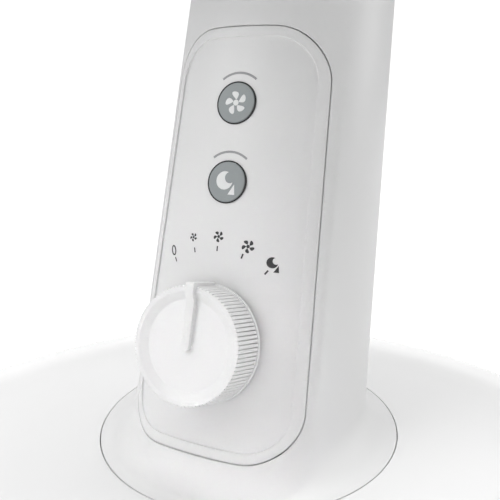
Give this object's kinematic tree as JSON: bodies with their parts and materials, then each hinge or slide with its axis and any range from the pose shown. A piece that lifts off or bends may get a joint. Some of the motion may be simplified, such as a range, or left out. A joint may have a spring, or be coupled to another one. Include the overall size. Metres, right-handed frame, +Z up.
{
  "type": "table fan",
  "caption": "White table fan with a round weighted base, leaning column with rotary speed knob and push buttons, tilting and swinging head, and guarded blades.",
  "frame": {"origin": "on the floor under the centre of the round base", "axes": "+Z up, front of the fan along -Y, +X to the right as seen from the front"},
  "size_m": [0.3586, 0.3266, 0.5643],
  "materials": {
    "white_plastic": "satin moulded",
    "panel_plastic": "fine matt",
    "button_grey": "satin",
    "blade_plastic": "semi-gloss",
    "black_rubber": "matt",
    "steel": "zinc plated",
    "weight_iron": "raw casting",
    "copper_winding": "enamelled wire",
    "bearing_bronze": "sintered",
    "cast_alloy": "die cast",
    "nylon": "natural",
    "circuit_board": "solder mask",
    "dark_plastic": "moulded"
  },
  "bodies": {
    "base": {"base_cover": "white_plastic", "base_plate": "dark_plastic", "base_weight": "weight_iron", "rubber_foot_1": "black_rubber", "rubber_foot_2": "black_rubber", "rubber_foot_3": "black_rubber", "rubber_foot_4": "black_rubber", "cord_gland": "black_rubber", "run_capacitor": "dark_plastic", "base_screw_1": "steel", "base_screw_2": "steel", "base_screw_3": "steel", "column_screw_1": "steel", "column_screw_2": "steel", "column_screw_3": "steel", "column_shell": "white_plastic", "panel_plate": "panel_plastic", "control_board": "circuit_board", "rotary_switch": "dark_plastic", "turbo_switch": "dark_plastic", "night_switch": "dark_plastic", "tilt_bracket": "white_plastic", "tilt_bolt": "steel"},
    "knob": {"knob": "white_plastic", "switch_shaft": "steel"},
    "turbo_button": {"turbo_button": "button_grey"},
    "night_button": {"night_button": "button_grey"},
    "tilt_nut": {"tilt_nut": "dark_plastic"},
    "neck": {"neck": "white_plastic", "neck_bush": "nylon"},
    "head": {"swing_bracket": "cast_alloy", "stator_core": "steel", "stator_winding": "copper_winding", "rear_end_bell": "cast_alloy", "front_end_bell": "cast_alloy", "rear_bearing": "bearing_bronze", "front_bearing": "bearing_bronze", "gearbox_case": "cast_alloy", "gearbox_lid": "cast_alloy", "motor_cover": "white_plastic", "cover_screw": "steel", "motor_front_plate": "white_plastic", "grille_nut": "dark_plastic", "rear_grille": "white_plastic", "front_grille": "white_plastic", "front_cap": "white_plastic", "rim_ring": "white_plastic"},
    "latch": {"rim_latch": "white_plastic"},
    "blades": {"blade_set": "blade_plastic", "blade_nut": "dark_plastic", "motor_shaft": "steel", "rotor_core": "steel"},
    "worm_wheel": {"worm_wheel": "nylon"},
    "clutch_pinion": {"clutch_pinion": "nylon"},
    "crank": {"crank_gear": "nylon", "crank_disc": "steel"},
    "link": {"swing_link": "steel"},
    "clutch_knob": {"clutch_knob": "white_plastic"}
  },
  "joints": [
    {"name": "knob_turn", "type": "hinge", "parent": "base", "child": "knob", "pos_m": [0, -0.01106, 0.077], "axis": [0, -0.9551, 0.2963], "range_deg": [-34.6, 34.6]},
    {"name": "turbo_press", "type": "slide", "parent": "base", "child": "turbo_button", "axis": [0, 0.9551, -0.2963], "range_m": [0, 0.0012], "stiffness_N_per_m": 600},
    {"name": "night_press", "type": "slide", "parent": "base", "child": "night_button", "axis": [0, 0.9551, -0.2963], "range_m": [0, 0.0012], "stiffness_N_per_m": 600},
    {"name": "tilt_nut_turn", "type": "hinge", "parent": "base", "child": "tilt_nut", "pos_m": [0.025, 0.08978, 0.303], "axis": [1, 0, 0], "range_deg": [0, 180]},
    {"name": "head_tilt", "type": "hinge", "parent": "base", "child": "neck", "pos_m": [0, 0.08978, 0.303], "axis": [1, 0, 0], "range_deg": [-20, 10]},
    {"name": "head_swing", "type": "hinge", "parent": "neck", "child": "head", "pos_m": [0, 0.08978, 0.33], "axis": [0, 0, 1], "range_deg": [-40, 40]},
    {"name": "latch_open", "type": "hinge", "parent": "head", "child": "latch", "pos_m": [0, -0.02737, 0.20362], "axis": [1, 0, 0], "range_deg": [-80, 0]},
    {"name": "blade_spin", "type": "hinge", "parent": "head", "child": "blades", "pos_m": [0, 0.08978, 0.385], "axis": [0, -1, 0], "continuous": true},
    {"name": "worm_wheel_turn", "type": "hinge", "parent": "head", "child": "worm_wheel", "pos_m": [0.0135, 0.10488, 0.385], "axis": [0, 0, 1], "continuous": true},
    {"name": "crank_turn", "type": "hinge", "parent": "head", "child": "crank", "pos_m": [0, 0.11678, 0.36], "axis": [0, 0, 1], "continuous": true},
    {"name": "clutch_pinion_turn", "type": "hinge", "parent": "head", "child": "clutch_pinion", "pos_m": [0.0135, 0.10488, 0.375], "axis": [0, 0, 1], "continuous": true},
    {"name": "link_turn", "type": "hinge", "parent": "crank", "child": "link", "pos_m": [0.0055, 0.11678, 0.346], "axis": [0, 0, 1], "continuous": true},
    {"name": "clutch_pull", "type": "slide", "parent": "head", "child": "clutch_knob", "axis": [0, 0, 1], "range_m": [0, 0.006]}
  ],
  "couplings": [
    {"joint": "worm_wheel_turn", "follows": "blade_spin", "ratio": 0.041667},
    {"joint": "clutch_pinion_turn", "follows": "crank_turn", "ratio": -3},
    {"joint": "link_turn", "follows": "crank_turn", "ratio": -1}
  ]
}
